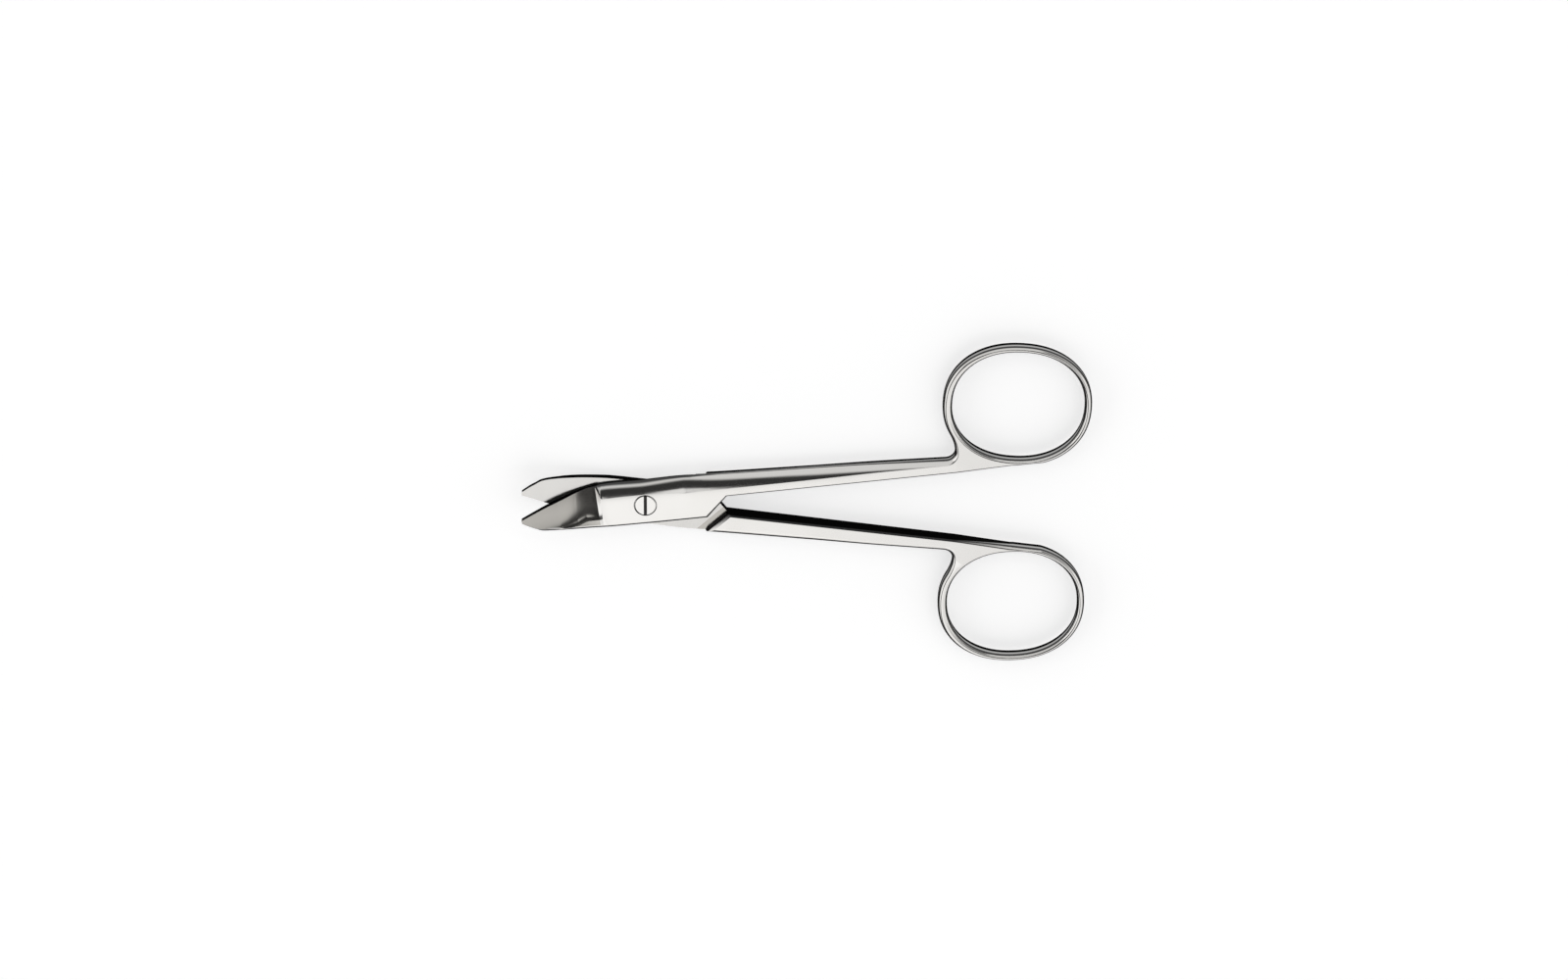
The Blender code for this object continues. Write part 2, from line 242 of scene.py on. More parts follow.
def hole_outline():
    """The finger hole, clockwise, so that its rounding also runs into the metal."""
    radii = (RING_HOLE_LENGTH / 2, RING_HOLE_WIDTH / 2)
    points = oval((RING_X, RING_Y), radii, 0.0, -2 * math.pi, RING_STEPS, RING_TILT, RING_FULLNESS)
    return [station(x, y, RING_ROUND, RING_ROUND) for x, y in points[:-1]]


def half_thickness(x):
    """The plate is thickest at the joint and thins evenly along the shank to the ring."""
    part = min(max((x - SHOULDER_FOOT) / (RING_X - SHOULDER_FOOT), 0.0), 1.0)
    return (THICKNESS + (RING_THICKNESS - THICKNESS) * part) / 2


def edge_profile(slopes, radii):
    """A rounding through the given slopes, as shares of its reach inwards and of its drop."""
    across = [0.0]
    down = [0.0]
    for start, end in zip(slopes, slopes[1:]):
        radius = np.interp((start + end) / 2, *radii)
        across.append(across[-1] + radius * (math.sin(end) - math.sin(start)))
        down.append(down[-1] + radius * (math.cos(start) - math.cos(end)))
    return np.array([1 - np.array(across) / across[-1], np.array(down) / down[-1]])


# The belt leaves a faint edge on the face, and rolls over it in three arcs that grow tighter
BELT_SLOPES = np.radians(np.linspace(21, 90, ROUND_STEPS + 1))
BELT_ARCS = (np.radians([36, 38, 62, 64]), [3.0, 2.26, 2.26, 1.1])
BELT_PROFILE = edge_profile(BELT_SLOPES, BELT_ARCS)
EVEN_PROFILE = edge_profile(np.linspace(0, math.pi / 2, ROUND_STEPS + 1), ([0], [1]))


def inward_directions(points):
    """For each corner, the step that moves both of its sides inwards by one unit."""
    before = points - np.roll(points, 1, axis=0)
    after = np.roll(points, -1, axis=0) - points
    normals = []
    for side in (before, after):
        side = side / np.linalg.norm(side, axis=1, keepdims=True)
        normals.append(np.column_stack([-side[:, 1], side[:, 0]]))
    middle = normals[0] + normals[1]
    middle /= np.linalg.norm(middle, axis=1, keepdims=True)
    return middle / np.sum(middle * normals[1], axis=1, keepdims=True)


def add_wall(mesh, outline):
    """The side wall of a plate along an outline. It gives the border loops below and above."""
    table = np.array(outline)
    points = table[:, :2]
    inward = inward_directions(points)
    steps = range(ROUND_STEPS + 1)
    levels = [(table[:, UNDER], -1, step) for step in steps]
    levels += [(table[:, OVER], 1, step) for step in reversed(steps)]
    loops = []
    for rounding, side, step in levels:
        across, down, belt = rounding.T
        reach, fall = EVEN_PROFILE[:, [step]] * (1 - belt) + BELT_PROFILE[:, [step]] * belt
        places = points + inward * (across * reach)[:, None]
        loop = []
        for (x, y), drop in zip(places, down * fall):
            height = MATING_HEIGHT + side * (half_thickness(x) - drop)
            loop.append(mesh.verts.new((x, y, height)))
        loops.append(loop)
    for lower, upper in zip(loops, loops[1:]):
        for i in range(len(lower)):
            mesh.faces.new((lower[i - 1], lower[i], upper[i], upper[i - 1]))
    return loops[0], loops[-1]


def fill_face(mesh, loops):
    """A flat face between border loops, the outer one and that of the hole."""
    edges = []
    for loop in loops:
        for i, vertex in enumerate(loop):
            edges.append(mesh.edges.get((loop[i - 1], vertex)))
    bmesh.ops.triangle_fill(mesh, edges=edges, use_beauty=True)


def add_piece(name, mesh):
    """Turns a bmesh into an object of the scene."""
    data = bpy.data.meshes.new(name)
    mesh.to_mesh(data)
    mesh.free()
    piece = bpy.data.objects.new(name, data)
    scene.collection.objects.link(piece)
    return piece


def rounded_plate(name):
    """A half before its joint is cut: a plate with rounded edges and a finger hole."""
    mesh = bmesh.new()
    walls = [add_wall(mesh, half_outline()), add_wall(mesh, hole_outline())]
    for loops in zip(*walls):
        fill_face(mesh, loops)
    bmesh.ops.recalc_face_normals(mesh, faces=mesh.faces)
    return add_piece(name, mesh)


def layered_cutter(name, layers):
    """A solid through rings of corners, from the top one down."""
    mesh = bmesh.new()
    rings = [[mesh.verts.new(corner) for corner in layer] for layer in layers]
    mesh.faces.new(rings[0])
    mesh.faces.new(list(reversed(rings[-1])))
    for upper, lower in zip(rings, rings[1:]):
        for i in range(len(upper)):
            mesh.faces.new((upper[i - 1], upper[i], lower[i], lower[i - 1]))
    bmesh.ops.recalc_face_normals(mesh, faces=mesh.faces)
    return add_piece(name, mesh)


# The shoulder leans back a little from its foot, and its top corner is ground off
SHOULDER_LEAN = 0.00022
CORNER_START = 0.0006
CORNER_WIDTH = 0.00085
PAST_FACE = 0.002
SHOULDER_PROFILE = (
    (MATING_HEIGHT + RUNNING_GAP / 2, 0.0),
    (CORNER_START, SHOULDER_LEAN),
    (0.0, CORNER_WIDTH),
    (-PAST_FACE, CORNER_WIDTH),
)


def recess_cutter():
    """Takes the lower layer off the joint and blade, up to the shoulder."""
    reach = BLADE_REACH + THICKNESS
    side = JOINT_SPINE_WIDTH + JOINT_BACK_WIDTH
    slant = side * (1 / math.tan(SHOULDER_ANGLE))
    layers = []
    for height, back in SHOULDER_PROFILE:
        foot = SHOULDER_FOOT + SHOULDER_RUN + back
        corners = [(-reach, -side), (foot + slant, -side), (foot - slant, side), (-reach, side)]
        layers.append([(x, y, height) for x, y in corners])
    return layered_cutter("recess", layers)


TURN_STEPS = 96


def turned_mesh(profile):
    """A bmesh turned about Z from (radius, height) points, which run from the top axis down."""
    mesh = bmesh.new()
    rings = []
    for radius, height in profile:
        ring = []
        for step in range(TURN_STEPS if radius else 1):
            angle = 2 * math.pi * step / TURN_STEPS
            ring.append(mesh.verts.new((radius * math.cos(angle), radius * math.sin(angle), height)))
        rings.append(ring)
    for upper, lower in zip(rings, rings[1:]):
        for i in range(TURN_STEPS):
            corners = [upper[(i - 1) % len(upper)], lower[(i - 1) % len(lower)], lower[i % len(lower)]]
            if len(upper) > 1:
                corners.append(upper[i])
            if len(lower) == 1:
                corners.pop(2)
            mesh.faces.new(corners)
    bmesh.ops.recalc_face_normals(mesh, faces=mesh.faces)
    return mesh


# What the halves need of the screw that joins them
SCREW_HEAD_RADIUS = 0.00205
SCREW_SHAFT_RADIUS = 0.0012
SCREW_SEAT = 0.0036
SCREW_CONE = 0.0009
SCREW_RUN = 0.00008
SEAT_BREAK = 0.00006
SEAT_BREAK_DEPTH = 0.00008
BORE_BREAK = 0.00012


def countersink_cutter():
    """The screw's seat, with a broken edge at the top."""
    head = SCREW_HEAD_RADIUS + SCREW_RUN
    shaft = SCREW_SHAFT_RADIUS + SCREW_RUN
    profile = [
        (0, THICKNESS * 2),
        (head + SEAT_BREAK, THICKNESS * 2),
        (head + SEAT_BREAK, THICKNESS),
        (head, THICKNESS - SEAT_BREAK_DEPTH),
        (head, SCREW_SEAT - SCREW_RUN),
        (shaft, SCREW_SEAT - SCREW_CONE - SCREW_RUN),
        (shaft, -THICKNESS),
        (0, -THICKNESS),
    ]
    return add_piece("countersink", turned_mesh(profile))


def bore_cutter():
    """The threaded bore, drawn plain, with a broken edge at its outer end."""
    shaft = SCREW_SHAFT_RADIUS + SCREW_RUN / 2
    profile = [
        (0, THICKNESS * 2),
        (shaft + BORE_BREAK, THICKNESS * 2),
        (shaft + BORE_BREAK, THICKNESS),
        (shaft, THICKNESS - BORE_BREAK),
        (shaft, -THICKNESS),
        (0, -THICKNESS),
    ]
    return add_piece("bore", turned_mesh(profile))


def apply_modifiers(piece):
    """Makes what the modifiers give the piece's own mesh."""
    graph = bpy.context.evaluated_depsgraph_get()
    piece.data = bpy.data.meshes.new_from_object(piece.evaluated_get(graph))
    piece.modifiers.clear()


def cut(piece, cutters):
    """Takes the cutters off a piece, and deletes them."""
    for cutter in cutters:
        piece.modifiers.new("cut", "BOOLEAN").object = cutter
    apply_modifiers(piece)
    for cutter in cutters:
        bpy.data.objects.remove(cutter, do_unlink=True)


# The blade is bent up from the joint. Its outer face is ground hollow on a wheel, from a slanted
# step on, and the wheel leaves a rim along the spine. The flat faces are crowned a little.
CURVE_START = 0.0070
CURVE_RADIUS = 0.047
FULL_LAYER = MATING_HEIGHT - RUNNING_GAP / 2
BLADE_THINNING = ((0.0085, 0.0100, 0.0115, 0.0135, 0.0240), (0.0, 0.00010, 0.00016, 0.00020, 0.00074))
STEP_FOOT = ((-0.00918, 0.0046), (-0.0090, -0.0021))
STEP_TOP = ((-0.00836, 0.0046), (-0.00840, -0.0021))
STEP_DEPTH = 0.00016
STEP_DEPTH_LENGTH = 0.0014
RIM_LINE = (
    (-0.0300, -0.0060),
    (-0.0166, -0.0036),
    (-0.0161, -0.0032),
    (-0.0132, -0.0029),
    (-0.0114, -0.0022),
    (-0.0060, -0.0021),
)
RIM_SOFTNESS = 0.00015
RIM_DEPTH = 0.00015
RIM_DEPTH_WIDTH = 0.00045
RIM_DEPTH_ENDS = -0.0166
RIM_DEPTH_FADE = 0.0036
HOLLOW_SLOPE = 0.16
HOLLOW_LENGTH = 0.0040
HOLLOW_WIDTH = 0.0065
HOLLOW_WIDTH_AT_TIP = 0.0002
CROWN = 0.00022
CROWN_FORM = 2.5
CROWN_REACH = 1.1
CROWN_ENDS = 0.052
CROWN_FADE = 0.010


def curve_height(radius):
    """How far the mating face has risen at this distance from the pivot axis."""
    return np.maximum(radius - CURVE_START, 0.0) ** 2 / (2 * CURVE_RADIUS)


def line_x(line, y):
    """Where a slanted line across the blade stands at this y."""
    return line[1][0] + (line[0][0] - line[1][0]) * (y - line[1][1]) / (line[0][1] - line[1][1])


def outer_layer(x, y):
    """The thickness above the mating face over a point of the half's plan."""
    crown = CROWN * np.clip(y / JOINT_BACK_WIDTH, 0.0, CROWN_REACH) ** CROWN_FORM
    crown = crown * np.clip((CROWN_ENDS - x) / CROWN_FADE, 0.0, 1.0)
    past_step = np.maximum(line_x(STEP_FOOT, y) - x, 0.0)
    past_rim = np.maximum(y - np.interp(x, *zip(*RIM_LINE)), 0.0)
    past_rim = past_rim**2 / (past_rim + RIM_SOFTNESS)
    near_heel = np.clip((x - RIM_DEPTH_ENDS) / RIM_DEPTH_FADE, 0.0, 1.0)
    spread = HOLLOW_WIDTH * np.exp(-((past_step / HOLLOW_LENGTH) ** 2)) + HOLLOW_WIDTH_AT_TIP
    inside = 1 - np.exp(-past_rim / RIM_DEPTH_WIDTH)
    hollow = RIM_DEPTH * inside * near_heel
    hollow += HOLLOW_SLOPE * spread * (1 - np.exp(-past_rim / spread))
    hollow += STEP_DEPTH * inside * (1 - np.exp(-past_step / STEP_DEPTH_LENGTH))
    down_step = (line_x(STEP_TOP, y) - x) / (line_x(STEP_TOP, y) - line_x(STEP_FOOT, y))
    thinned = np.interp(np.hypot(x, y), *BLADE_THINNING) * (x < 0)
    return FULL_LAYER - crown - thinned - np.clip(down_step, 0.0, 1.0) * hollow


def outer_height(x, y, mating_height, side):
    """The height of the outer face over a point."""
    rise = np.where(x < 0, curve_height(np.hypot(x, y)), 0.0)
    return mating_height + side * outer_layer(x, side * y) + rise


SLICE = 0.00025
FLAT_SLICE = 0.0005
BLADE_SLICES = range(27, int(BLADE_REACH / SLICE) + 1)
EDGE_SLICES = range(-14, 20)
FLAT_SLICES = range(11)
BEFORE_STEP = -0.0067
SHADED_BAND_BY_SHOULDER = 0.0013
LENGTHWISE = (0, 1, 0)
LEVEL = 0.9999
SLIVER = 0.000008


def slice_half(mesh, side):
    """Slices the blade finely, the flat face along its crown, and both along the step."""
    planes = [((-SLICE * step, 0, 0), (1, 0, 0), 0.0) for step in BLADE_SLICES]
    planes += [((0, side * SLICE * step, 0), LENGTHWISE, BEFORE_STEP) for step in EDGE_SLICES]
    planes += [((0, side * FLAT_SLICE * step, 0), LENGTHWISE, WEB_X) for step in FLAT_SLICES]
    lines = list(zip(RIM_LINE[2:], RIM_LINE[3:]))
    lines += [((x1, y1 + RIM_SOFTNESS), (x2, y2 + RIM_SOFTNESS)) for (x1, y1), (x2, y2) in lines]
    for start, end in (STEP_FOOT, STEP_TOP, *lines):
        across = (start[1] - end[1], -side * (start[0] - end[0]), 0)
        planes.append(((start[0], side * start[1], 0), across, BEFORE_STEP))
    along_shoulder = (math.tan(SHOULDER_ANGLE), side, 0)
    planes.append(((SHOULDER_FOOT - SHADED_BAND_BY_SHOULDER, 0, 0), along_shoulder, SHOULDER_FOOT))
    for place, direction, last_x in planes:
        near = []
        for face in mesh.faces:
            sliced = direction != LENGTHWISE or abs(face.normal.z) > LEVEL
            if sliced and min(vertex.co.x for vertex in face.verts) < last_x:
                near.append(face)
        parts = dict.fromkeys(item for face in near for item in (face, *face.edges, *face.verts))
        bmesh.ops.bisect_plane(mesh, geom=list(parts), plane_co=place, plane_no=direction)
    bmesh.ops.dissolve_degenerate(mesh, edges=mesh.edges, dist=SLIVER)


# Walls are painted darkest along the inner edge up to the ring, and on the blade, as a painted dark
# reflection. The joint's side, where the painted shade reaches higher, fades in and out between the
# places of its table.
PLAIN_INNER_WIDTH = 0.0007
PLAIN_INNER_ENDS = 0.064
PLAIN_BLADE_STARTS = 0.0006 - STEP_DISTANCE
JOINT_SIDE = ((-0.0092, -0.0085, 0.0090, 0.0150), (0.0, 1.0, 1.0, 0.0))
WELD = 0.0000001
ON_FACE = 0.000004


def shape_blade(piece, mating_height, side):
    """Crowns and thins the half, and bends its blade up. Side is -1 for the half turned over.

    It gives two masks: the vertices of the outer face, and those of the mating face.
    """
    mesh = bmesh.new()
    mesh.from_mesh(piece.data)
    bmesh.ops.remove_doubles(mesh, verts=mesh.verts, dist=WELD)
    slice_half(mesh, side)
    mesh.verts.index_update()
    x, y, z = np.array([vertex.co for vertex in mesh.verts]).T
    up = (z - mating_height) * side
    share = np.where(up > 0, outer_layer(x, side * y) / FULL_LAYER, 1.0)
    rise = np.where(x < 0, curve_height(np.hypot(x, y)), 0.0)
    for vertex, height in zip(mesh.verts, mating_height + (z - mating_height) * share + rise):
        vertex.co.z = height
    # Masks for the painted dark reflection and painted shade of the walls, kept on the vertices
    plain_inner = (y * side < PLAIN_INNER_WIDTH) & (x < PLAIN_INNER_ENDS)
    painted_dark_wall = plain_inner | (x < PLAIN_BLADE_STARTS)
    for name, values in (("painted_dark_wall", painted_dark_wall), ("joint_side", np.interp(x, *JOINT_SIDE))):
        layer = mesh.verts.layers.float.new(name)
        for vertex, value in zip(mesh.verts, values):
            vertex[layer] = float(value)
    mesh.to_mesh(piece.data)
    mesh.free()
    outer = np.array([half_thickness(here) for here in x]) - RUNNING_GAP / 2
    return np.abs(up - outer) < ON_FACE, np.abs(up) < ON_FACE


HEEL_ROOM_REACH = 0.0112
HEEL_ROOM_SPREAD = math.radians(52)
HEEL_ROOM_STEPS = 8


def heel_room_cutter():
    """Room in the upper lap for the lower blade's rising heel, which comes there when wide open."""
    angles = [HEEL_ROOM_SPREAD * step / HEEL_ROOM_STEPS for step in range(HEEL_ROOM_STEPS + 1)]
    floor = MATING_HEIGHT + RUNNING_GAP / 2
    levels = []
    for radius in np.linspace(HEEL_ROOM_REACH - SLICE, CURVE_START, HEEL_ROOM_STEPS):
        levels.append((radius, floor + float(curve_height(radius + SLICE))))
    levels.append((CURVE_START, floor - THICKNESS))
    layers = []
    for radius, height in levels:
        outer = [(HEEL_ROOM_REACH * math.cos(a), HEEL_ROOM_REACH * math.sin(a), height) for a in angles]
        inner = [(radius * math.cos(a), radius * math.sin(a), height) for a in reversed(angles)]
        layers.append(outer + inner)
    return layered_cutter("heel_room", layers)


SMOOTH_ANGLE = math.radians(30)
POLISHED_FACE, LAP_FACE, GROUND_AND_SHADE_FACE = range(3)
BESIDE = 0.000002
INSET = 0.1


def choose_finishes(piece, side, top, mating):
    """The lap, the step and the ground blade differ in finish; a band of the lap by the shoulder
    takes the darker ground tone as painted shade.
    """
    for face in piece.data.polygons:
        corners = list(face.vertices)
        x = face.center.x
        y = side * face.center.y
        if mating[corners].all():
            shoulder = SHOULDER_FOOT - y / math.tan(SHOULDER_ANGLE)
            face.material_index = GROUND_AND_SHADE_FACE if shoulder - x < SHADED_BAND_BY_SHOULDER else LAP_FACE
        elif top[corners].all() and x < line_x(STEP_TOP, y):
            face.material_index = GROUND_AND_SHADE_FACE if x < line_x(STEP_FOOT, y) else LAP_FACE


def smooth_shade(piece):
    """Smooth roundings between flat faces that stay flat."""
    piece.data.shade_smooth()
    piece.data.set_sharp_from_angle(angle=SMOOTH_ANGLE)
    weighted = piece.modifiers.new("flat_faces_stay_flat", "WEIGHTED_NORMAL")
    weighted.keep_sharp = True


def shade_half(piece, top):
    """Smooth shading with a crisp border round the outer face."""
    faces_of_edge = Counter()
    for face in piece.data.polygons:
        if top[list(face.vertices)].all():
            faces_of_edge.update(face.edge_keys)
    smooth_shade(piece)
    for edge in piece.data.edges:
        if faces_of_edge[edge.key] == 1:
            edge.use_edge_sharp = True
    apply_modifiers(piece)


def set_exact_normals(piece, mating_height, side, top):
    """The crowned and ground outer face takes its normals from its own formula."""
    data = piece.data
    normals = np.empty(len(data.loops) * 3)
    data.corner_normals.foreach_get("vector", normals)
    normals = normals.reshape(-1, 3)
    for face in data.polygons:
        corners = list(face.vertices)
        if top[corners].all() and face.center.x < WEB_X:
            places = np.array([data.vertices[corner].co for corner in corners])
            places = places * (1 - INSET) + np.array(face.center) * INSET
            x, y = places[:, 0], places[:, 1]
            here = outer_height(x, y, mating_height, side)
            slope_x = (outer_height(x + BESIDE, y, mating_height, side) - here) / BESIDE
            slope_y = (outer_height(x, y + BESIDE, mating_height, side) - here) / BESIDE
            exact = np.column_stack([-slope_x, -slope_y, np.ones(len(corners))]) * side
            normals[face.loop_start : face.loop_start + face.loop_total] = exact
    normals /= np.linalg.norm(normals, axis=1, keepdims=True)
    data.normals_split_custom_set(normals.tolist())


def add_node(tree, kind, inputs=(), **settings):
    """A node with its settings. Inputs map a socket's name or number to a value or a link."""
    node = tree.nodes.new(kind)
    for name, value in settings.items():
        setattr(node, name, value)
    for name, value in dict(inputs).items():
        if isinstance(value, bpy.types.NodeSocket):
            tree.links.new(value, node.inputs[name])
        else:
            node.inputs[name].default_value = value
    return node


def add_math(tree, operation, *values):
    """One step of arithmetic on numbers or links."""
    inputs = dict(enumerate(values))
    return add_node(tree, "ShaderNodeMath", inputs, operation=operation).outputs[0]


def add_ramp(tree, value, start, end, shape="SMOOTHSTEP"):
    """Runs from 0 to 1 while the value goes from start to end."""
    inputs = {"Value": value, "From Min": start, "From Max": end}
    return add_node(tree, "ShaderNodeMapRange", inputs, interpolation_type=shape).outputs[0]


def add_mix(tree, share, first, second, blend_type="MIX"):
    """A colour between two others."""
    inputs = {0: share, 6: first, 7: second}
    mix = add_node(tree, "ShaderNodeMix", inputs, data_type="RGBA", blend_type=blend_type)
    return mix.outputs[2]


def new_group(name, inputs, outputs):
    """A shader node group with its sockets. It gives the tree and its inner ends."""
    tree = bpy.data.node_groups.new(name, "ShaderNodeTree")
    for label, kind in inputs:
        tree.interface.new_socket(label, in_out="INPUT", socket_type=kind)
    for label, kind in outputs:
        tree.interface.new_socket(label, in_out="OUTPUT", socket_type=kind)
    return tree, tree.nodes.new("NodeGroupInput"), tree.nodes.new("NodeGroupOutput")


NUMBER = "NodeSocketFloat"
VECTOR = "NodeSocketVector"

# What polishing leaves on the steel: fine lines along the work, soft waves and cloudy patches
LINES_ALONG = (120.0, 6000.0, 6000.0)
WAVE_SCALE = 260.0
CLOUD_SCALE = 90.0
polish, entry, leave = new_group(
    "polish_marks", [("Place", VECTOR), ("Lines", NUMBER)], [("Height", NUMBER), ("Cloud", NUMBER)]
)
spot = entry.outputs["Place"]
stretched = add_node(polish, "ShaderNodeVectorMath", {0: spot, 1: LINES_ALONG}, operation="MULTIPLY")
fine = {"Vector": stretched.outputs[0], "Scale": 1.0, "Detail": 3.0}
lines = add_node(polish, "ShaderNodeTexNoise", fine)
waves = add_node(polish, "ShaderNodeTexNoise", {"Vector": spot, "Scale": WAVE_SCALE, "Detail": 1.0})
clouds = add_node(polish, "ShaderNodeTexNoise", {"Vector": spot, "Scale": CLOUD_SCALE, "Detail": 4.0})
lined = add_math(polish, "MULTIPLY", lines.outputs["Fac"], entry.outputs["Lines"])
polish.links.new(add_math(polish, "ADD", lined, waves.outputs["Fac"]), leave.inputs["Height"])
polish.links.new(clouds.outputs["Fac"], leave.inputs["Cloud"])

# Side walls are rougher than the faces, and their steel is painted dark as a painted reflection. Wall
# is 1 where a side stands steep, sooner on the side of the inner edge. Line marks a painted highlight:
# a fine bright line half way down a rounded side. The joint's back has no such line, and its painted
# shade reaches higher up.
SIDE_TURNS = 0.25
INNER_WALL = 0.985
BACK_WALL = 0.54
JOINT_WALL_RISE = 0.30
WALL_FADE = 0.12
UNDERSIDE = (-0.75, -0.55)
LINE_HEIGHT = 0.13
LINE_WIDTH = (0.13, 0.03)
walls, entry, leave = new_group(
    "painted_wall_shading", [("Direction", VECTOR), ("Joint", NUMBER)], [("Wall", NUMBER), ("Line", NUMBER)]
)
parts = add_node(walls, "ShaderNodeSeparateXYZ", {0: entry.outputs["Direction"]})
upright = parts.outputs["Z"]
at_joint = entry.outputs["Joint"]
back_wall = add_math(walls, "MULTIPLY_ADD", at_joint, JOINT_WALL_RISE, BACK_WALL)
sides = {"Value": parts.outputs["Y"], "From Min": -SIDE_TURNS, "From Max": SIDE_TURNS}
starts = {"To Min": INNER_WALL, "To Max": back_wall}
wall_starts = add_node(walls, "ShaderNodeMapRange", {**sides, **starts}).outputs[0]
wall_full = add_math(walls, "SUBTRACT", wall_starts, WALL_FADE)
from_above = add_ramp(walls, upright, wall_starts, wall_full)
wall = add_math(walls, "MULTIPLY", from_above, add_ramp(walls, upright, *UNDERSIDE))
walls.links.new(wall, leave.inputs["Wall"])
off_line = add_math(walls, "ABSOLUTE", add_math(walls, "SUBTRACT", upright, LINE_HEIGHT))
off_joint = add_math(walls, "SUBTRACT", 1.0, at_joint)
line = add_math(walls, "MULTIPLY", add_ramp(walls, off_line, *LINE_WIDTH), off_joint)
walls.links.new(line, leave.inputs["Line"])

# How steep a plain wall must be for its painted dark reflection
BROKEN_EDGE = (0.995, 0.96)


def paint_wall_shading(tree, place, bright, painted_wall_tones):
    """The painted dark reflection and bright line of the side walls. It gives the colour and how much
    of a wall it is.
    """
    joint = add_node(tree, "ShaderNodeAttribute", attribute_name="joint_side")
    plain = add_node(tree, "ShaderNodeAttribute", attribute_name="painted_dark_wall")
    sockets = {"Direction": place.outputs["Normal"], "Joint": joint.outputs["Fac"]}
    rounded = add_node(tree, "ShaderNodeGroup", sockets, node_tree=walls)
    upright = add_node(tree, "ShaderNodeSeparateXYZ", {0: place.outputs["Normal"]}).outputs["Z"]
    broken = add_ramp(tree, add_math(tree, "ABSOLUTE", upright), *BROKEN_EDGE, "LINEAR")
    plain_side = add_math(tree, "MULTIPLY", broken, plain.outputs["Fac"])
    wall = add_math(tree, "MAXIMUM", rounded.outputs["Wall"], plain_side)
    dark, light, darkest_wall_paint = [(tone, tone, tone, 1.0) for tone in painted_wall_tones]
    painted_streak_wall = add_mix(tree, rounded.outputs["Line"], dark, light)
    side = add_mix(tree, plain.outputs["Fac"], painted_streak_wall, darkest_wall_paint)
    return add_mix(tree, wall, bright, side), wall


CLOUD_TINT = (0.93, 0.92, 0.90, 1.0)
CLOUD_ROUGHNESS = 0.06
WALL_ROUGHNESS = 0.10


def steel(name, turn, colour, painted_wall_tones, roughness, line_strength, relief):
    """A steel finish whose lines run along a half that is turned by this angle.

    The painted wall tones are the painted dark of a rounded wall, its painted bright line, and the
    painted dark of a plain wall.
    """
    material = bpy.data.materials.new(name)
    material.use_nodes = True
    tree = material.node_tree
    shader = tree.nodes["Principled BSDF"]
    shader.inputs["Metallic"].default_value = 1.0
    place = add_node(tree, "ShaderNodeTexCoord")
    turned = {"Vector": place.outputs["Object"], "Rotation": (0.0, 0.0, turn)}
    along = add_node(tree, "ShaderNodeMapping", turned)
    sockets = {"Place": along.outputs[0], "Lines": line_strength}
    marks = add_node(tree, "ShaderNodeGroup", sockets, node_tree=polish)
    cloud = marks.outputs["Cloud"]
    tone = (*colour, 1.0)
    rough = add_math(tree, "MULTIPLY_ADD", cloud, CLOUD_ROUGHNESS, roughness - CLOUD_ROUGHNESS / 2)
    if painted_wall_tones:
        # Without this a wall painted dark would shine white at a flat angle
        shader.inputs["Specular Tint"].default_value = (0.0, 0.0, 0.0, 1.0)
        tone, wall = paint_wall_shading(tree, place, tone, painted_wall_tones)
        rough = add_math(tree, "MULTIPLY_ADD", wall, WALL_ROUGHNESS, rough)
    clouded = add_mix(tree, cloud, tone, CLOUD_TINT, "MULTIPLY")
    bumpy = {"Strength": 1.0, "Distance": relief, "Height": marks.outputs["Height"]}
    bump = add_node(tree, "ShaderNodeBump", bumpy)
    tree.links.new(clouded, shader.inputs["Base Color"])
    tree.links.new(rough, shader.inputs["Roughness"])
    tree.links.new(bump.outputs[0], shader.inputs["Normal"])
    return material


POLISHED = (0.62, 0.612, 0.60)
# The ground tone is the duller steel of the ground blade, and also painted shade on the lap by the
# shoulder
GROUND_AND_SHADE = (0.40, 0.388, 0.366)
# Painted dark of a rounded wall, its painted bright line, and painted dark of a plain wall
PAINTED_WALL_TONES = (0.06, 0.58, 0.04)
# Name, colour, painted wall tones, roughness, strength of the lines, and height of the relief
HALF_FINISHES = (
    ("polish", POLISHED, PAINTED_WALL_TONES, 0.12, 0.15, 0.0000006),
    ("lap", POLISHED, None, 0.22, 0.5, 0.0000008),
    ("ground", GROUND_AND_SHADE, None, 0.17, 0.5, 0.0000008),
)

upper_half = rounded_plate("upper_half_steel")
cut(upper_half, [recess_cutter(), heel_room_cutter(), countersink_cutter()])
lower_half = rounded_plate("lower_half_steel")
cut(lower_half, [recess_cutter(), bore_cutter()])
turned_over = Matrix.Translation((0, 0, THICKNESS)) @ Matrix.Rotation(math.pi, 4, "X")
lower_half.data.transform(turned_over)

for half, side, body, node in (
    (upper_half, 1, "upper_half", "screw_side_half"),
    (lower_half, -1, "lower_half", "threaded_half"),
):
    turn = side * OPENING / 2
    half.data.materials.clear()
    for finish, *look in HALF_FINISHES:
        half.data.materials.append(steel(f"{body}_{finish}", -turn, *look))
    mating_height = MATING_HEIGHT + side * RUNNING_GAP / 2
    top, mating = shape_blade(half, mating_height, side)
    choose_finishes(half, side, top, mating)
    shade_half(half, top)
    set_exact_normals(half, mating_height, side, top)
    half.data.transform(Matrix.Rotation(turn, 4, "Z"))
    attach(half, body)
    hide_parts(node)

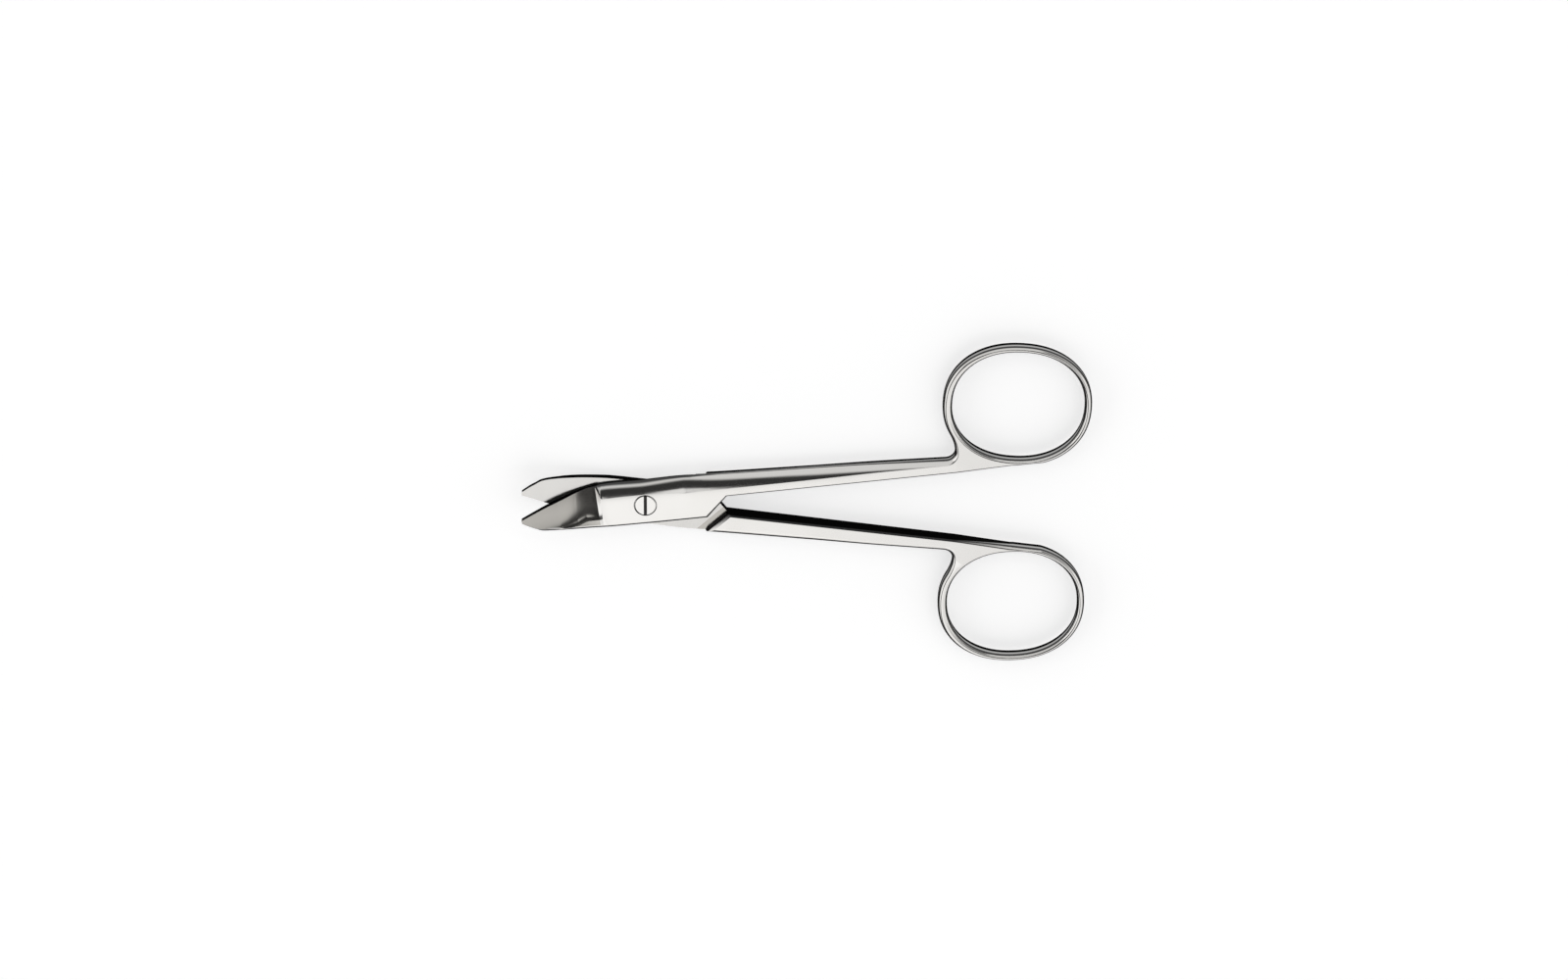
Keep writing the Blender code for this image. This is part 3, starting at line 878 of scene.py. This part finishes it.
# Pivot screw, turned from steel, with a countersunk head and a slot milled right across it.
# It goes through the upper half and is screwed into the lower one, flush with its back.
SLOT_WIDTH = 0.00055
SLOT_DEPTH = 0.00065
SLOT_REACH = 0.003
SLOT_DEPTH_SEEN = 1.1
BREAK = 0.00005
HEAD_SINK = 0.00001
HEAD_TOP = THICKNESS - HEAD_SINK
ABOVE_HEAD = THICKNESS + 0.001
HEAD_STEEL = (0.64, 0.632, 0.62)
# The head's side is painted dark as a painted reflection, with a painted bright line
HEAD_PAINTED_WALL_TONES = (0.10, 0.2, 0.10)
# The slot is painted near black as painted shade in it, and it is rougher than the head
SLOT_SHADE_TONE = (0.06, 0.058, 0.056)
SLOT_PAINTED_WALL_TONES = (0.05, 0.05, 0.05)
SCREW_FINISHES = (
    ("screw_polish", HEAD_STEEL, HEAD_PAINTED_WALL_TONES, 0.14, 0.1, 0.0000006),
    ("milled_slot", SLOT_SHADE_TONE, SLOT_PAINTED_WALL_TONES, 0.45, 1.0, 0.000003),
)
head_profile = [
    (0, HEAD_TOP),
    (SCREW_HEAD_RADIUS - 4 * BREAK, HEAD_TOP),
    (SCREW_HEAD_RADIUS - 2 * BREAK, HEAD_TOP),
    (SCREW_HEAD_RADIUS - BREAK, HEAD_TOP - BREAK / 3),
    (SCREW_HEAD_RADIUS, HEAD_TOP - BREAK),
    (SCREW_HEAD_RADIUS, SCREW_SEAT),
    (SCREW_SHAFT_RADIUS, SCREW_SEAT - SCREW_CONE),
    (SCREW_SHAFT_RADIUS, 2 * BREAK),
    (SCREW_SHAFT_RADIUS - 2 * BREAK, 0),
    (0, 0),
]
screw = add_piece("pivot_screw_steel", turned_mesh(head_profile))
slot_corners = [(-1, -1), (1, -1), (1, 1), (-1, 1)]
slot_layers = []
for height, half_width in (
    (ABOVE_HEAD, SLOT_WIDTH / 2 + BREAK),
    (HEAD_TOP, SLOT_WIDTH / 2 + BREAK / 2),
    (HEAD_TOP - BREAK, SLOT_WIDTH / 2),
    (HEAD_TOP - SLOT_DEPTH + BREAK, SLOT_WIDTH / 2),
    (HEAD_TOP - SLOT_DEPTH, SLOT_WIDTH / 2 - BREAK),
):
    slot_layers.append([(x * half_width, y * SLOT_REACH, height) for x, y in slot_corners])
cut(screw, [layered_cutter("slot", slot_layers)])
smooth_shade(screw)
screw.data.materials.clear()
for finish, *look in SCREW_FINISHES:
    screw.data.materials.append(steel(finish, 0.0, *look))
# The slot's faces, down to a little past its floor, take the slot's painted shade
for face in screw.data.polygons:
    between_walls = abs(face.center.x) < SLOT_WIDTH / 2 + BREAK / 4
    below_top = HEAD_TOP - SLOT_DEPTH * SLOT_DEPTH_SEEN < face.center.z < HEAD_TOP - BREAK / 2
    face.material_index = int(between_walls and below_top)
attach(screw, "lower_half")
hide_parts("pivot_screw")

# Table top for the portrait, covered with plain pale paper, far larger than the picture. The
# scissors lie on it by their own weight, and it keeps their soft shadow.
TABLE_REACH = 4.0
TABLE_DROP = 0.00002
PAPER_TONE = 0.55
PAPER_ROUGHNESS = 0.9
PAPER_GLOW = 0.62
table_mesh = bmesh.new()
bmesh.ops.create_grid(table_mesh, x_segments=1, y_segments=1, size=TABLE_REACH)
table = add_piece("table_top", table_mesh)
table.location.z = -TABLE_DROP
paper = bpy.data.materials.new("white_table")
paper.use_nodes = True
tree = paper.node_tree
paper_shader = tree.nodes["Principled BSDF"]
paper_shader.inputs["Base Color"].default_value = (PAPER_TONE, PAPER_TONE, PAPER_TONE, 1.0)
paper_shader.inputs["Roughness"].default_value = PAPER_ROUGHNESS
paper_shader.inputs["Specular IOR Level"].default_value = 0.0
paper_shader.inputs["Emission Color"].default_value = (1.0, 1.0, 1.0, 1.0)
rays = add_node(tree, "ShaderNodeLightPath")
seen = add_math(tree, "ADD", rays.outputs["Is Camera Ray"], rays.outputs["Is Glossy Ray"])
seen = add_math(tree, "ADD", seen, rays.outputs["Is Transmission Ray"])
tree.links.new(add_math(tree, "MULTIPLY", seen, PAPER_GLOW), paper_shader.inputs["Emission Strength"])
table.data.materials.append(paper)

# Tent of white cloth round the table. It lights the scissors softly from both sides. Its
# ceiling is dark, with one small lamp right overhead, and draws the streaks on polished edges.
TENT_LIGHT = 1.55
LAMP_LIGHT = 0.8
LAMP_RADIUS = 6.0
LAMP_SOFTNESS = 3.0
# Dark cloths: the degrees from and to which each spans, first from the far side over the top to
# the camera's side, then from the blades' end to the rings' end, both with the softness of the
# two borders, and last the share of the light that it takes away
DARK_CLOTHS = (
    ((-21.5, 35.0, 6.0, 18.0), (-50.0, 21.0, 8.0, 8.0), 0.97),
    ((-21.5, 35.0, 6.0, 18.0), (21.0, 60.0, 8.0, 8.0), 0.55),
    ((-75.0, -21.5, 6.0, 6.0), (-42.0, -9.0, 5.0, 5.0), 0.95),
    ((-75.0, -21.5, 6.0, 6.0), (1.5, 60.0, 6.0, 6.0), 0.20),
    ((35.0, 110.0, 18.0, 18.0), (-60.0, 60.0, 8.0, 8.0), 0.35),
    ((46.0, 150.0, 8.0, 8.0), (24.0, 80.0, 10.0, 10.0), 0.80),
)
cloth, entry, leave = new_group(
    "soft_cloth",
    [(name, NUMBER) for name in ("Angle", "From", "To", "From Softness", "To Softness")],
    [("Mask", NUMBER)],
)
borders = []
for name, sign in (("From", 1), ("To", -1)):
    half_soft = add_math(cloth, "MULTIPLY", entry.outputs[f"{name} Softness"], 0.5)
    inner = add_math(cloth, "MULTIPLY_ADD", half_soft, sign, entry.outputs[name])
    outer = add_math(cloth, "MULTIPLY_ADD", half_soft, -sign, entry.outputs[name])
    borders.append(add_ramp(cloth, entry.outputs["Angle"], outer, inner))
cloth.links.new(add_math(cloth, "MULTIPLY", *borders), leave.inputs["Mask"])

tent = bpy.data.worlds.new("light_tent")
scene.world = tent
tent.use_nodes = True
tree = tent.node_tree
background = tree.nodes["Background"]


def hang_cloth(angle, start, end, start_softness, end_softness):
    """A mask that is 1 between two angles, with soft borders."""
    sockets = dict(enumerate((angle, start, end, start_softness, end_softness)))
    return add_node(tree, "ShaderNodeGroup", sockets, node_tree=cloth).outputs["Mask"]


sky = add_node(tree, "ShaderNodeTexCoord")
ways = add_node(tree, "ShaderNodeSeparateXYZ", {0: sky.outputs["Generated"]})
over_tilt = add_math(tree, "DEGREES", add_math(tree, "ARCTAN2", ways.outputs["Y"], ways.outputs["Z"]))
end_tilt = add_math(tree, "DEGREES", add_math(tree, "ARCSINE", ways.outputs["X"]))
zenith_tilt = add_math(tree, "DEGREES", add_math(tree, "ARCCOSINE", ways.outputs["Z"]))
light = 1.0
for over_span, end_span, share in DARK_CLOTHS:
    mask = add_math(tree, "MULTIPLY", hang_cloth(over_tilt, *over_span), hang_cloth(end_tilt, *end_span))
    light = add_math(tree, "MULTIPLY", add_math(tree, "MULTIPLY_ADD", mask, -share, 1.0), light)
lamp = hang_cloth(zenith_tilt, -LAMP_RADIUS, LAMP_RADIUS, LAMP_SOFTNESS, LAMP_SOFTNESS)
light = add_math(tree, "MAXIMUM", light, add_math(tree, "MULTIPLY", lamp, LAMP_LIGHT))
tree.links.new(add_math(tree, "MULTIPLY", light, TENT_LIGHT), background.inputs["Strength"])
background.inputs["Color"].default_value = (1.0, 1.0, 1.0, 1.0)

# Camera with a long lens. It looks down on the scissors from the side of the upper ring, and is
# held so that this ring is at the top of the picture.
CAMERA_PLACE = (0.0226, 0.4329, 0.8465)
CAMERA_RIGHT = Vector((1.0, 0.0087, 0.0))
CAMERA_UP = Vector((-0.0078, 0.8910, -0.4540))
LENS = 114.36
SENSOR_WIDTH = 36.0
NEAREST = 0.01
FARTHEST = 20.0
camera = bpy.data.objects.new("camera", bpy.data.cameras.new("camera"))
scene.collection.objects.link(camera)
camera.data.sensor_width = SENSOR_WIDTH
camera.data.lens = LENS
camera.data.clip_start = NEAREST
camera.data.clip_end = FARTHEST
axes = Matrix((CAMERA_RIGHT, CAMERA_UP, CAMERA_RIGHT.cross(CAMERA_UP))).transposed()
camera.matrix_world = Matrix.Translation(CAMERA_PLACE) @ axes.to_4x4()
scene.camera = camera
scene.view_settings.view_transform = "Standard"
